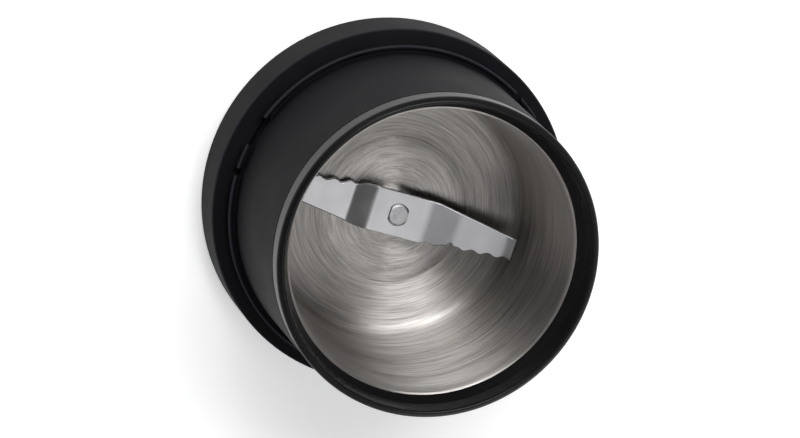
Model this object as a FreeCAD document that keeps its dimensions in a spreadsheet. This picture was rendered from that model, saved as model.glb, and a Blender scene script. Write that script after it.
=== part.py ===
"""Removable grinding cup of an electric spice grinder, millimetres, +Z up.

The origin is on the cup's axis, in the plane that the flange stands on. The photographed side faces -Y.
Heights in the sheet are measured from that plane unless the name says otherwise.
"""
import FreeCAD, Part
import Sketcher
import math
import os

from FreeCAD import Placement, Rotation, Vector

doc = FreeCAD.newDocument("grinding_cup")
sheet = doc.addObject("Spreadsheet::Sheet", "Sizes")

SIZES = {
    # how far joined features of one piece run into each other, and how far cuts run past a face
    "overlap": 0.3,
    "cut_over": 1.0,
    # flange that the cup stands on
    "flange_radius": 51.6,
    "flange_edge_radius": 51.0,
    "flange_edge_height": 14.3,
    "ledge_rise": 0.7,
    "ledge_thickness": 2.2,
    "skirt_wall": 2.2,
    "socket_wall": 1.8,
    "web_bottom": 9.0,
    "flange_floor": 2.2,
    "flange_floor_inner_radius": 38.4,
    "flange_round": 0.45,
    "flange_rib_count": 18,
    "flange_rib_thickness": 1.2,
    "flange_rib_bottom": 5.6,
    # lugs that lock the cup on its drive base
    "lug_count": 3,
    "lug_angle": 22.0,
    "lug_reach": 2.6,
    "lug_bottom": 1.8,
    "lug_height": 2.4,
    "lug_stop_angle": 3.0,
    "lug_stop_top": 6.6,
    # cup wall
    "foot_radius": 45.2,
    "foot_clearance": 0.3,
    "wall_inset": 0.1,
    "wall": 2.2,
    "web_thickness": 2.2,
    "wall_top_radius": 43.2,
    "wall_start": 20.4,
    "sleeve_rib_count": 12,
    "sleeve_rib_thickness": 1.2,
    "sleeve_rib_clearance": 0.5,
    "seat_drop": 2.6,
    "seat_inner_radius": 39.6,
    "seat_depth": 1.4,
    "seat_wall": 1.1,
    # rail that a lid's lugs turn under
    "rail_radius": 47.2,
    "rail_bottom": 17.4,
    "rail_top": 19.6,
    "rail_channel_depth": 0.7,
    "rail_crest": 1.0,
    "rail_round": 0.45,
    "rail_count": 3,
    "rail_gap_angle": 10.5,
    "rail_gap_azimuth": -74.5,
    "pad_angle": 8.5,
    "pad_channel_depth": 1.3,
    "pad_channel_step": 0.2,
    "notch_angle": 2.6,
    "stop_offset": 45.2,
    "stop_angle": 9.5,
    "stop_clearance": 0.2,
    # lip ring round the mouth
    "rim_radius": 43.0,
    "rim_height": 67.0,
    "lip_height": 6.0,
    "lip_inner_radius": 41.0,
    "lip_round": 0.95,
    "funnel_radius": 40.6,
    "funnel_drop": 4.8,
    "mouth_radius": 38.9,
    "ring_fit": 0.1,
    "ring_gap": 0.05,
    "bead_height": 0.5,
    "bead_reach": 0.2,
    "rim_gasket_thickness": 0.6,
    "rim_gasket_inner_radius": 39.8,
    "rim_gasket_outer_radius": 41.6,
    # drawn steel bowl
    "bowl_wall": 0.5,
    "bowl_mouth_radius": 38.35,
    "bowl_floor_radius": 36.7,
    "bowl_floor": 14.8,
    "bowl_corner": 2.5,
    "bowl_edge_radius": 41.4,
    "bowl_flare": 0.9,
    "centre_rise": 0.7,
    "centre_radius": 20.6,
    "centre_slope": 1.5,
    "hub_hole_radius": 5.25,
    # bearing carrier
    "hub_gasket_thickness": 0.8,
    "hub_gasket_inner_radius": 6.0,
    "hub_gasket_outer_radius": 9.6,
    "carrier_radius": 16.0,
    "nose_radius": 5.0,
    "nose_top": 16.8,
    "barrel_radius": 7.6,
    "barrel_bottom": 8.8,
    "barrel_clearance": 0.3,
    "carrier_pocket_count": 6,
    "carrier_pocket_depth": 1.8,
    "carrier_pocket_radius": 12.2,
    "carrier_pocket_wall": 1.5,
    # bushes, washers and seal
    "bush_radius": 3.95,
    "bush_flange_thickness": 0.8,
    "upper_bush_flange_radius": 4.3,
    "lower_bush_flange_radius": 5.4,
    "upper_bush_bottom": 12.9,
    "lower_bush_top": 12.0,
    "running_clearance": 0.04,
    "end_play": 0.1,
    "washer_thickness": 0.5,
    "upper_washer_radius": 4.7,
    "lower_washer_radius": 5.2,
    "cap_radius": 6.4,
    "cap_across_flats": 11.4,
    "cap_top": 18.8,
    "cap_lip": 0.4,
    "cap_collar": 1.0,
    "cap_hole_radius": 4.0,
    "cap_thread_clearance": 0.05,
    "seal_radius": 4.95,
    "seal_thickness": 0.95,
    "seal_lip": 0.55,
    # shaft
    "shaft_radius": 3.0,
    "shaft_tail_radius": 2.5,
    "shaft_thread_radius": 2.0,
    "shaft_bottom": 1.1,
    "shaft_chamfer": 0.3,
    "shaft_flat": 2.6,
    "tail_flat": 1.9,
    "peen_height": 0.5,
    "peen_land": 0.2,
    "peen_spread": 0.12,
    "peen_dent_radius": 1.5,
    "peen_dent": 0.25,
    "clip_groove_radius": 2.3,
    "clip_thickness": 0.6,
    "clip_radius": 4.8,
    "clip_opening": 3.6,
    "clip_scallop_across": 1.7,
    "clip_scallop_aside": 2.2,
    "clip_scallop_radius": 1.0,
    # collar under the blade
    "collar_radius": 5.2,
    "collar_thickness": 0.55,
    "collar_hub_radius": 3.7,
    # blade
    "blade_bottom": 19.6,
    "blade_thickness": 1.5,
    "blade_azimuth": 120.0,
    "blade_reach": 33.8,
    "blade_centre_width": 12.6,
    "back_taper_start": 11.0,
    "blade_tip_back": 2.9,
    "edge_taper_start": 8.5,
    "edge_corner": 16.6,
    "edge_corner_reach": 5.05,
    "blade_tip_edge": 3.45,
    "low_bend_start": 7.8,
    "low_bend_end": 13.1,
    "low_drop": 2.2,
    "high_bend_start": 8.0,
    "high_bend_end": 17.0,
    "high_rise": 3.0,
    "high_tip_start": 31.4,
    "high_tip_bend_rise": 4.6,
    "high_tip_rise": 5.6,
    # waves ground into the leading edges
    "wave_pitch": 4.55,
    "wave_radius": 2.6,
    "wave_depth": 0.85,
    "wave_lean": 12.0,
    "low_wave_count": 5,
    "low_wave_first": 12.75,
    "high_wave_count": 4,
    "high_wave_first": 18.3,
    "inner_wave_count": 2,
    "inner_wave_first": 10.1,
    "inner_wave_depth": 0.5,
    "edge_nick_radius": 0.7,
    "edge_nick_depth": 1.5,
    # driven coupling
    "coupling_radius": 11.0,
    "coupling_top": 6.5,
    "coupling_disc": 2.2,
    "dog_bottom": 0.9,
    "dog_count": 6,
    "dog_angle": 26.0,
    "dog_inner_radius": 7.4,
    "dog_round": 0.8,
    "insert_radius": 5.2,
    "insert_bottom": 3.4,
    "insert_top_cover": 0.4,
    "insert_fit": 0.02,
    "insert_notch_count": 8,
    "insert_notch_radius": 0.6,
    "nut_thickness": 1.8,
    "nut_across_flats": 7.0,
    # cover of the underside
    "cover_thickness": 1.6,
    "cover_standoff": 0.4,
    "cover_clearance": 0.5,
    "cover_well_radius": 14.0,
    "cover_well_wall": 1.4,
    "cover_well_bottom": 3.6,
    "cover_rib_count": 9,
    "cover_rib_depth": 1.5,
    "cover_rib_start": 19.0,
    "cover_rib_end": 34.0,
    # screws
    "ring_screw_count": 4,
    "ring_screw_circle": 41.5,
    "ring_screw_azimuth": 15.0,
    "ring_screw_length": 9.2,
    "ring_pilot_depth": 8.0,
    "ring_boss_top": 20.5,
    "cover_screw_count": 3,
    "cover_screw_circle": 30.0,
    "cover_screw_azimuth": 45.0,
    "cover_screw_length": 5.4,
    "cover_pilot_depth": 3.9,
    "cover_boss_top": 13.2,
    "housing_screw_count": 3,
    "housing_screw_circle": 11.2,
    "housing_screw_azimuth": 30.0,
    "housing_screw_length": 4.2,
    "housing_pilot_over": 0.2,
    "screw_radius": 1.25,
    "screw_hole_clearance": 0.35,
    "screw_head_radius": 2.2,
    "screw_head_height": 1.3,
    "screw_rim_height": 0.7,
    "screw_crown_radius": 1.65,
    "screw_slot": 0.7,
    "screw_slot_depth": 0.65,
    "boss_wall": 1.4,
}
for row, (name, value) in enumerate(SIZES.items(), start=1):
    sheet.set(f"A{row}", name.replace("_", " "))
    sheet.set(f"B{row}", str(value))
    sheet.setAlias(f"B{row}", name)
doc.recompute()


def bound(expression):
    """Expression text with each sheet alias written out in full."""
    words = []
    word = ""
    for letter in expression + " ":
        if letter.isalnum() or letter == "_":
            word += letter
            continue
        words.append(f"Sizes.{word}" if word in SIZES else word)
        words.append(letter)
        word = ""
    return "".join(words).strip()


def number(expression):
    """Present value of an expression of the sheet's sizes."""
    value = sheet.evalExpression(bound(expression))
    return float(getattr(value, "Value", value))


# Heights and radii that several pieces share, worked out from the sheet.
LEDGE_TOP = "(flange_edge_height + ledge_rise)"
SOCKET = "(foot_radius + foot_clearance)"
WEB_TOP = "(web_bottom + web_thickness)"
FLOOR_BOTTOM = "(web_bottom - flange_floor)"
SLEEVE_INSIDE = "(foot_radius - wall)"
WALL_TOP = "(rim_height - lip_height)"
GASKET_SEAT = "(rim_height - lip_height - seat_drop)"
RING_SEAT = "(rim_height - lip_height - seat_drop + rim_gasket_thickness + bowl_wall)"
RING_SOCKET = "(wall_top_radius - seat_wall)"
CENTRE_TOP = "(bowl_floor + centre_rise)"
CENTRE_BOTTOM = "(bowl_floor + centre_rise - bowl_wall)"
CARRIER_TOP = "(bowl_floor + centre_rise - bowl_wall - hub_gasket_thickness)"
BORE = "(shaft_radius + running_clearance)"
LOWER_FLANGE = "(barrel_bottom - bush_flange_thickness)"
LOWER_WASHER = "(barrel_bottom - bush_flange_thickness - washer_thickness)"
WASHER_TOP = "(nose_top + washer_thickness)"
COLLAR_BOTTOM = "(blade_bottom - collar_thickness)"
BLADE_TOP = "(blade_bottom + blade_thickness)"
CLIP_TOP = f"({LOWER_WASHER} - end_play)"
COVER_TOP = "(web_bottom - cover_standoff)"
COVER_BOTTOM = "(web_bottom - cover_standoff - cover_thickness)"


def new_body(label):
    body = doc.addObject("PartDesign::Body", label)
    body.Label = label
    return body


def origin_item(body, role):
    return next(item for item in body.Origin.OriginFeatures if item.Role == role)


def turn_body(body, azimuth):
    """Turn a finished body about the cup's axis to its place."""
    body.Placement = Placement(Vector(0, 0, 0), Rotation(Vector(0, 0, 1), 1))
    body.setExpression("Placement.Rotation.Angle", bound(azimuth))


def new_sketch(body, name, role="XZ_Plane", height=None, azimuth=None):
    """Sketch on a plane of the body; a height lifts it and an azimuth turns it about the axis."""
    sketch = body.newObject("Sketcher::SketchObject", name)
    sketch.AttachmentSupport = [(origin_item(body, role), "")]
    sketch.MapMode = "FlatFace"
    if height is not None:
        sketch.setExpression("AttachmentOffset.Base.z", bound(height))
    if azimuth is not None:
        sketch.AttachmentOffset = Placement(Vector(0, 0, 0), Rotation(Vector(0, 1, 0), 1))
        sketch.setExpression("AttachmentOffset.Rotation.Angle", bound(azimuth))
    return sketch


def place_point(sketch, geometry, end, across, up, tag):
    """Fix one point of a sketch at the place that two expressions give."""
    for kind, expression in (("DistanceX", across), ("DistanceY", up)):
        value = number(expression)
        if value == 0 and expression == "0":
            axis = -2 if kind == "DistanceX" else -1
            sketch.addConstraint(Sketcher.Constraint("PointOnObject", geometry, end, axis))
            continue
        index = sketch.addConstraint(Sketcher.Constraint(kind, -1, 1, geometry, end, value))
        sketch.renameConstraint(index, f"{tag}_{kind[-1]}")
        sketch.setExpression(f"Constraints.{tag}_{kind[-1]}", bound(expression))


def add_outline(sketch, corners, tag="p"):
    """Closed straight-sided outline through corners, each a pair of expressions."""
    points = [Vector(number(across), number(up), 0) for across, up in corners]
    start = sketch.GeometryCount
    count = len(points)
    for index in range(count):
        segment = Part.LineSegment(points[index], points[(index + 1) % count])
        sketch.addGeometry(segment, False)
    for index in range(count):
        following = start + (index + 1) % count
        sketch.addConstraint(Sketcher.Constraint("Coincident", start + index, 2, following, 1))
    for index, (across, up) in enumerate(corners):
        place_point(sketch, start + index, 1, across, up, f"{tag}{index}")


def add_circle(sketch, across, up, radius, tag="c"):
    """Circle whose centre and radius follow three expressions."""
    centre = Vector(number(across), number(up), 0)
    index = sketch.addGeometry(Part.Circle(centre, Vector(0, 0, 1), number(radius)), False)
    place_point(sketch, index, 3, across, up, tag)
    radius_index = sketch.addConstraint(Sketcher.Constraint("Radius", index, number(radius)))
    sketch.renameConstraint(radius_index, f"{tag}_radius")
    sketch.setExpression(f"Constraints.{tag}_radius", bound(radius))


def revolve(body, sketch, name, kind="Revolution", angle=None):
    """Turn a sketch about the cup's axis: all the way, or over an angle centred on the sketch."""
    feature = body.newObject(f"PartDesign::{kind}", name)
    feature.Profile = sketch
    feature.ReferenceAxis = (sketch, ["V_Axis"])
    if angle is None:
        feature.Angle = 360
    else:
        feature.Midplane = True
        feature.setExpression("Angle", bound(angle))
    sketch.Visibility = False
    return feature


def pad(body, sketch, name, length, kind="Pad", midplane=False, reverse=False, through=False):
    """Straight pad or pocket of a sketch."""
    feature = body.newObject(f"PartDesign::{kind}", name)
    feature.Profile = sketch
    if through:
        feature.Type = "ThroughAll"
    else:
        feature.setExpression("Length", bound(length))
    feature.Midplane = midplane
    feature.Reversed = reverse
    return feature


def repeat(body, features, name, count):
    """Copies of features at equal angles about the cup's axis."""
    pattern = body.newObject("PartDesign::PolarPattern", name)
    pattern.Originals = features
    pattern.Axis = (origin_item(body, "Z_Axis"), [""])
    pattern.Angle = 360
    pattern.setExpression("Occurrences", bound(count))
    body.Tip = pattern
    return pattern


def ring_edges(shape, places):
    """Names of the circular edges at the given radii and heights."""
    wanted = [(number(radius), number(height)) for radius, height in places]
    names = []
    for index, edge in enumerate(shape.Edges, start=1):
        if not isinstance(edge.Curve, Part.Circle):
            continue
        for radius, height in wanted:
            if abs(edge.Curve.Radius - radius) < 0.01 and abs(edge.Curve.Center.z - height) < 0.01:
                names.append(f"Edge{index}")
    return names


def round_rings(body, name, places, radius):
    """Fillet on circular edges of the body's present tip."""
    doc.recompute()
    tip = body.Tip
    fillet = body.newObject("PartDesign::Fillet", name)
    fillet.Base = (tip, ring_edges(tip.Shape, places))
    fillet.setExpression("Radius", bound(radius))
    return fillet


def turned(label, corners):
    """Body turned about the cup's axis from one closed outline of radius and height pairs."""
    body = new_body(label)
    sketch = new_sketch(body, f"{label}_profile")
    add_outline(sketch, corners)
    revolve(body, sketch, f"{label}_turning")
    return body


def make_cup_sleeve():
    """Outer cup with its web, lid rail, ribs and screw bosses, made with a rail gap at azimuth 0."""
    wall_inside_top = "(wall_top_radius - wall)"
    body = turned("cup_sleeve", [
        ("barrel_radius + barrel_clearance", "web_bottom"),
        ("foot_radius", "web_bottom"),
        ("foot_radius", "rail_bottom"),
        ("rail_radius", "rail_bottom"),
        ("rail_radius", "rail_top"),
        ("rail_radius - rail_crest", "rail_top"),
        ("rail_radius - rail_crest", "rail_top - rail_channel_depth"),
        ("foot_radius - wall_inset", "rail_top - rail_channel_depth"),
        ("foot_radius - wall_inset", "wall_start"),
        ("wall_top_radius", WALL_TOP),
        (RING_SOCKET, WALL_TOP),
        (RING_SOCKET, GASKET_SEAT),
        ("seat_inner_radius", GASKET_SEAT),
        ("seat_inner_radius", GASKET_SEAT + " - seat_depth"),
        (wall_inside_top, GASKET_SEAT + " - 2 * seat_depth"),
        (SLEEVE_INSIDE, WEB_TOP),
        ("barrel_radius + barrel_clearance", WEB_TOP),
    ])
    round_rings(body, "sleeve_rail_round", [("rail_radius", "rail_top")], "rail_round")
    bead = new_sketch(body, "bead_groove_profile")
    add_outline(bead, [
        (RING_SOCKET + " - overlap", f"{RING_SEAT} + bead_height - ring_fit"),
        (RING_SOCKET + " + bead_reach", f"{RING_SEAT} + bead_height - ring_fit"),
        (RING_SOCKET + " + bead_reach", f"{RING_SEAT} + 2 * bead_height + ring_fit"),
        (RING_SOCKET + " - overlap", f"{RING_SEAT} + 2 * bead_height + ring_fit"),
    ])
    revolve(body, bead, "bead_groove", "Groove")
    cut_rail(body)
    add_sleeve_ribs(body, wall_inside_top)
    add_sleeve_bosses(body)
    turn_body(body, "rail_gap_azimuth")
    return body


def rail_sector(body, name, kind, azimuth, angle, inner, bottom, top, outer):
    """Sector of the rail's section, added or cut, centred on an azimuth from the rail gap."""
    sketch = new_sketch(body, f"{name}_profile", azimuth=azimuth)
    add_outline(sketch, [(inner, bottom), (outer, bottom), (outer, top), (inner, top)])
    return revolve(body, sketch, name, kind, angle)


def cut_rail(body):
    """Three entry gaps, each with a snap pad, a notch behind it and a stop for the lid's lug."""
    pad_azimuth = "(rail_gap_angle / 2 + pad_angle / 2)"
    notch_azimuth = "(rail_gap_angle / 2 + pad_angle + notch_angle / 2)"
    outside = "(rail_radius + cut_over)"
    above = "(rail_top + overlap)"
    below = "(rail_bottom - overlap)"
    channel = "(rail_radius - rail_crest)"
    gap = rail_sector(body, "rail_gap", "Groove", "0", "rail_gap_angle",
                      "foot_radius", below, above, outside)
    notch = rail_sector(body, "rail_notch", "Groove", notch_azimuth, "notch_angle",
                        "foot_radius", below, above, outside)
    deep = rail_sector(body, "pad_channel", "Groove", pad_azimuth, "pad_angle",
                       "foot_radius + pad_channel_step", "rail_top - pad_channel_depth", above, channel)
    repeat(body, [gap, notch, deep], "rail_cuts", "rail_count")
    stop = rail_sector(body, "rail_stop", "Revolution", "stop_offset", "stop_angle",
                       "foot_radius - overlap", LEDGE_TOP + " + stop_clearance", "rail_bottom + overlap",
                       "rail_radius")
    repeat(body, [stop], "rail_stops", "rail_count")


def add_sleeve_ribs(body, wall_inside_top):
    """Upright ribs between the sleeve and the bowl, clear of the bowl's taper."""
    rib = new_sketch(body, "sleeve_rib_profile", azimuth="180 / sleeve_rib_count")
    clear = "(bowl_wall + sleeve_rib_clearance)"
    add_outline(rib, [
        (f"bowl_floor_radius + {clear}", WEB_TOP + " - overlap"),
        (SLEEVE_INSIDE + " + overlap", WEB_TOP + " - overlap"),
        (f"{wall_inside_top} + overlap", f"{GASKET_SEAT} - seat_depth"),
        (f"bowl_mouth_radius + {clear}", f"{GASKET_SEAT} - 2 * seat_depth"),
    ])
    rib_pad = pad(body, rib, "sleeve_rib", "sleeve_rib_thickness", midplane=True)
    repeat(body, [rib_pad], "sleeve_ribs", "sleeve_rib_count")


def add_sleeve_bosses(body):
    """Screw bosses on the web, their pilot holes, and clear holes for the carrier's screws."""
    add_posts(body, "ring_boss", "ring_screw_circle", "screw_radius + boss_wall",
              WEB_TOP + " - overlap", "ring_boss_top", "ring_screw_count", "ring_screw_azimuth")
    add_posts(body, "cover_boss", "cover_screw_circle", "screw_radius + boss_wall",
              WEB_TOP + " - overlap", "cover_boss_top", "cover_screw_count", "cover_screw_azimuth")
    add_posts(body, "ring_pilot", "ring_screw_circle", "screw_radius",
              "web_bottom", "web_bottom + ring_pilot_depth", "ring_screw_count",
              "ring_screw_azimuth", "Pocket")
    add_posts(body, "cover_pilot", "cover_screw_circle", "screw_radius",
              "web_bottom", "web_bottom + cover_pilot_depth", "cover_screw_count",
              "cover_screw_azimuth", "Pocket")
    add_posts(body, "housing_hole", "housing_screw_circle", "screw_radius + screw_hole_clearance",
              "web_bottom", WEB_TOP, "housing_screw_count", "housing_screw_azimuth", "Pocket")


def add_posts(body, name, circle, radius, bottom, top, count, azimuth, kind="Pad"):
    """Round posts or holes on a circle about the axis, from one height up to another."""
    sketch = new_sketch(body, f"{name}_profile", "XY_Plane", height=bottom)
    across = f"{circle} * cos({azimuth} * 1 deg)"
    up = f"{circle} * sin({azimuth} * 1 deg)"
    add_circle(sketch, across, up, radius)
    post = pad(body, sketch, name, f"{top} - ({bottom})", kind, reverse=kind == "Pocket")
    repeat(body, [post], f"{name}s", count)


def make_rim_ring():
    """Glossy lip: funnel, upright inner face and rounded crest, with a snap bead on its spigot."""
    spigot = f"({RING_SOCKET} - ring_fit)"
    body = turned("rim_ring", [
        ("mouth_radius", RING_SEAT),
        (spigot, RING_SEAT),
        (spigot, f"{RING_SEAT} + bead_height"),
        (f"{spigot} + bead_reach", f"{RING_SEAT} + 1.5 * bead_height"),
        (spigot, f"{RING_SEAT} + 2 * bead_height"),
        (spigot, f"{WALL_TOP} + ring_gap"),
        ("wall_top_radius - ring_fit", f"{WALL_TOP} + ring_gap"),
        ("rim_radius", "rim_height"),
        ("lip_inner_radius", "rim_height"),
        ("funnel_radius", "rim_height - funnel_drop"),
    ])
    crest = [("rim_radius", "rim_height"), ("lip_inner_radius", "rim_height")]
    round_rings(body, "lip_crest", crest, "lip_round")
    return body


def make_steel_bowl():
    """Drawn bowl with a turned-out edge, a raised centre and a hole for the carrier's nose."""
    slope_end = "(centre_radius + centre_slope)"
    body = turned("steel_bowl", [
        ("hub_hole_radius", CENTRE_BOTTOM),
        ("centre_radius", CENTRE_BOTTOM),
        (slope_end, "bowl_floor - bowl_wall"),
        ("bowl_floor_radius + bowl_wall", "bowl_floor - bowl_wall"),
        ("bowl_mouth_radius + bowl_wall", RING_SEAT + " - bowl_wall"),
        ("bowl_edge_radius", RING_SEAT + " - bowl_wall"),
        ("bowl_edge_radius", RING_SEAT),
        ("bowl_mouth_radius", RING_SEAT),
        ("bowl_floor_radius", "bowl_floor"),
        (slope_end, "bowl_floor"),
        ("centre_radius", CENTRE_TOP),
        ("hub_hole_radius", CENTRE_TOP),
    ])
    round_rings(body, "bowl_inner_corner", [("bowl_floor_radius", "bowl_floor")], "bowl_corner")
    outer = [("bowl_floor_radius + bowl_wall", "bowl_floor - bowl_wall")]
    round_rings(body, "bowl_outer_corner", outer, "bowl_corner + bowl_wall")
    round_rings(body, "bowl_mouth_flare", [("bowl_mouth_radius", RING_SEAT)], "bowl_flare")
    return body


def make_base_ring():
    """Wide flange: ledge, skirt, socket for the sleeve's foot, stiffening ribs and locking lugs."""
    socket_outside = f"({SOCKET} + socket_wall)"
    skirt_inside = "(flange_radius - skirt_wall)"
    skirt_inside_top = "(flange_edge_radius - skirt_wall)"
    under_ledge = "(flange_edge_height - ledge_thickness)"
    body = turned("base_ring", [
        (skirt_inside, "0"),
        ("flange_radius", "0"),
        ("flange_edge_radius", "flange_edge_height"),
        (socket_outside, LEDGE_TOP),
        (SOCKET, LEDGE_TOP),
        (SOCKET, "web_bottom"),
        ("flange_floor_inner_radius", "web_bottom"),
        ("flange_floor_inner_radius", FLOOR_BOTTOM),
        (socket_outside, FLOOR_BOTTOM),
        (socket_outside, under_ledge),
        (skirt_inside_top, under_ledge),
    ])
    edges = [("flange_radius", "0"), ("flange_edge_radius", "flange_edge_height")]
    round_rings(body, "flange_edges", edges, "flange_round")
    add_flange_ribs(body, socket_outside, skirt_inside, under_ledge)
    add_locking_lugs(body, skirt_inside)
    add_posts(body, "ring_screw_hole", "ring_screw_circle", "screw_radius + screw_hole_clearance",
              FLOOR_BOTTOM, "web_bottom", "ring_screw_count", "ring_screw_azimuth", "Pocket")
    turn_body(body, "rail_gap_azimuth")
    return body


def add_flange_ribs(body, socket_outside, skirt_inside, under_ledge):
    """Radial ribs between the socket and the skirt, hidden under the ledge."""
    rib = new_sketch(body, "flange_rib_profile", azimuth="180 / flange_rib_count")
    add_outline(rib, [
        (f"{socket_outside} - overlap", FLOOR_BOTTOM + " + 2 * overlap"),
        (f"{skirt_inside} + overlap", "flange_rib_bottom"),
        (f"{skirt_inside} + overlap", f"{under_ledge} + overlap"),
        (f"{socket_outside} - overlap", f"{under_ledge} + overlap"),
    ])
    rib_pad = pad(body, rib, "flange_rib", "flange_rib_thickness", midplane=True)
    repeat(body, [rib_pad], "flange_ribs", "flange_rib_count")


def add_locking_lugs(body, skirt_inside):
    """Lugs inside the skirt, each with a sloped top and a stop rib at one end."""
    lug = new_sketch(body, "lug_profile", azimuth="0")
    lug_top = "(lug_bottom + lug_height)"
    add_outline(lug, [
        (f"{skirt_inside} - lug_reach", "lug_bottom"),
        (f"{skirt_inside} + overlap", "lug_bottom"),
        (f"{skirt_inside} + overlap", f"{lug_top} + 2 * overlap"),
        (f"{skirt_inside} - lug_reach", lug_top),
    ])
    lug_turn = revolve(body, lug, "lug", "Revolution", "lug_angle")
    stop = new_sketch(body, "lug_stop_profile", azimuth="(lug_angle - lug_stop_angle) / 2")
    add_outline(stop, [
        (f"{skirt_inside} - lug_reach", "lug_bottom + overlap"),
        (f"{skirt_inside} + overlap", "lug_bottom + overlap"),
        (f"{skirt_inside} + overlap", "lug_stop_top"),
        (f"{skirt_inside} - lug_reach", "lug_stop_top"),
    ])
    stop_turn = revolve(body, stop, "lug_stop", "Revolution", "lug_stop_angle")
    repeat(body, [lug_turn, stop_turn], "lugs", "lug_count")


def make_bearing_housing():
    """Carrier: flange under the bowl, threaded nose through it and a barrel through the web."""
    body = turned("bearing_housing", [
        ("bush_radius", "barrel_bottom"),
        ("barrel_radius", "barrel_bottom"),
        ("barrel_radius", WEB_TOP),
        ("carrier_radius", WEB_TOP),
        ("carrier_radius", CARRIER_TOP),
        ("nose_radius", CARRIER_TOP),
        ("nose_radius", "nose_top"),
        ("upper_bush_flange_radius", "nose_top"),
        ("upper_bush_flange_radius", "nose_top - bush_flange_thickness"),
        ("bush_radius", "nose_top - bush_flange_thickness"),
    ])
    turn_body(body, "rail_gap_azimuth")
    add_posts(body, "carrier_pilot", "housing_screw_circle", "screw_radius",
              WEB_TOP, "web_bottom + housing_screw_length + housing_pilot_over", "housing_screw_count",
              "housing_screw_azimuth", "Pocket")
    between_screws = "housing_screw_azimuth + 180 / carrier_pocket_count"
    pocket = new_sketch(body, "carrier_pocket_profile", azimuth=between_screws)
    add_outline(pocket, [
        ("carrier_pocket_radius", WEB_TOP + " - overlap"),
        ("carrier_radius - carrier_pocket_wall", WEB_TOP + " - overlap"),
        ("carrier_radius - carrier_pocket_wall", f"{WEB_TOP} + carrier_pocket_depth"),
        ("carrier_pocket_radius", f"{WEB_TOP} + carrier_pocket_depth"),
    ])
    cut = revolve(body, pocket, "carrier_pocket", "Groove", "180 / carrier_pocket_count")
    repeat(body, [cut], "carrier_pockets", "carrier_pocket_count")
    return body


def make_hub_seals():
    """Gasket under the bowl floor, the cap nut that clamps it and the lip seal inside the cap."""
    turned("hub_gasket", [
        ("hub_gasket_inner_radius", CARRIER_TOP),
        ("hub_gasket_outer_radius", CARRIER_TOP),
        ("hub_gasket_outer_radius", CENTRE_BOTTOM),
        ("hub_gasket_inner_radius", CENTRE_BOTTOM),
    ])
    thread = "(nose_radius + cap_thread_clearance)"
    cap = turned("seal_cap", [
        (thread, CENTRE_TOP),
        ("cap_radius", CENTRE_TOP),
        ("cap_radius", "cap_top - cap_lip"),
        ("cap_radius - cap_lip", "cap_top"),
        ("cap_hole_radius", "cap_top"),
        ("cap_hole_radius", "cap_top - cap_lip"),
        (thread, "cap_top - cap_lip"),
    ])
    flats = new_sketch(cap, "cap_flats_profile", "XY_Plane", height="cap_top + cut_over")
    for side, tag in (("", "a"), ("-", "b")):
        edge = f"{side}(cap_across_flats / 2)"
        beyond = f"{side}(cap_radius + cut_over)"
        add_outline(flats, [(edge, "-cap_radius"), (beyond, "-cap_radius"),
                            (beyond, "cap_radius"), (edge, "cap_radius")], tag)
    pad(cap, flats, "cap_flats", f"cap_top + cut_over - {CENTRE_TOP} - cap_collar", "Pocket")
    lip = "(collar_hub_radius + running_clearance)"
    seal_bottom = "(cap_top - cap_lip - seal_thickness)"
    turned("shaft_seal", [
        (lip, f"{seal_bottom} + seal_lip"),
        (f"{lip} + seal_lip", seal_bottom),
        ("seal_radius", seal_bottom),
        ("seal_radius", "cap_top - cap_lip"),
        (lip, "cap_top - cap_lip"),
    ])


def make_bushes():
    """Flanged bushes and the washers that take the shaft's end play."""
    turned("upper_bush", [
        (BORE, "upper_bush_bottom"),
        ("bush_radius", "upper_bush_bottom"),
        ("bush_radius", "nose_top - bush_flange_thickness"),
        ("upper_bush_flange_radius", "nose_top - bush_flange_thickness"),
        ("upper_bush_flange_radius", "nose_top"),
        (BORE, "nose_top"),
    ])
    turned("lower_bush", [
        (BORE, LOWER_FLANGE),
        ("lower_bush_flange_radius", LOWER_FLANGE),
        ("lower_bush_flange_radius", "barrel_bottom"),
        ("bush_radius", "barrel_bottom"),
        ("bush_radius", "lower_bush_top"),
        (BORE, "lower_bush_top"),
    ])
    for label, outer, bottom in (("thrust_washer_upper", "upper_washer_radius", "nose_top"),
                                 ("thrust_washer_lower", "lower_washer_radius", LOWER_WASHER)):
        top = f"({bottom} + washer_thickness)"
        turned(label, [(BORE, bottom), (outer, bottom), (outer, top), (BORE, top)])


def make_drive_shaft():
    """Ground shaft: peened double-flat head, clip groove, single-flat tail and thread."""
    peen = "(shaft_radius + peen_spread)"
    nut_top = "insert_bottom"
    body = turned("drive_shaft", [
        ("0", "shaft_bottom"),
        ("shaft_thread_radius - shaft_chamfer", "shaft_bottom"),
        ("shaft_thread_radius", "shaft_bottom + shaft_chamfer"),
        ("shaft_thread_radius", nut_top),
        ("shaft_tail_radius", nut_top),
        ("shaft_tail_radius", "coupling_top - insert_top_cover"),
        ("shaft_radius", "coupling_top - insert_top_cover"),
        ("shaft_radius", f"{CLIP_TOP} - clip_thickness"),
        ("clip_groove_radius", f"{CLIP_TOP} - clip_thickness"),
        ("clip_groove_radius", CLIP_TOP),
        ("shaft_radius", CLIP_TOP),
        ("shaft_radius", BLADE_TOP),
        (peen, BLADE_TOP),
        (peen, f"{BLADE_TOP} + peen_land"),
        (f"{peen} - peen_height", f"{BLADE_TOP} + peen_height"),
        ("peen_dent_radius", f"{BLADE_TOP} + peen_height"),
        ("0", f"{BLADE_TOP} + peen_height - peen_dent"),
    ])
    cut_flats(body, "head_flats", "shaft_flat", "blade_bottom", f"{BLADE_TOP} + cut_over", ("", "-"))
    cut_flats(body, "tail_flat_cut", "tail_flat", nut_top, "coupling_top - insert_top_cover", ("",))
    turn_body(body, "blade_azimuth")
    return body


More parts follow.
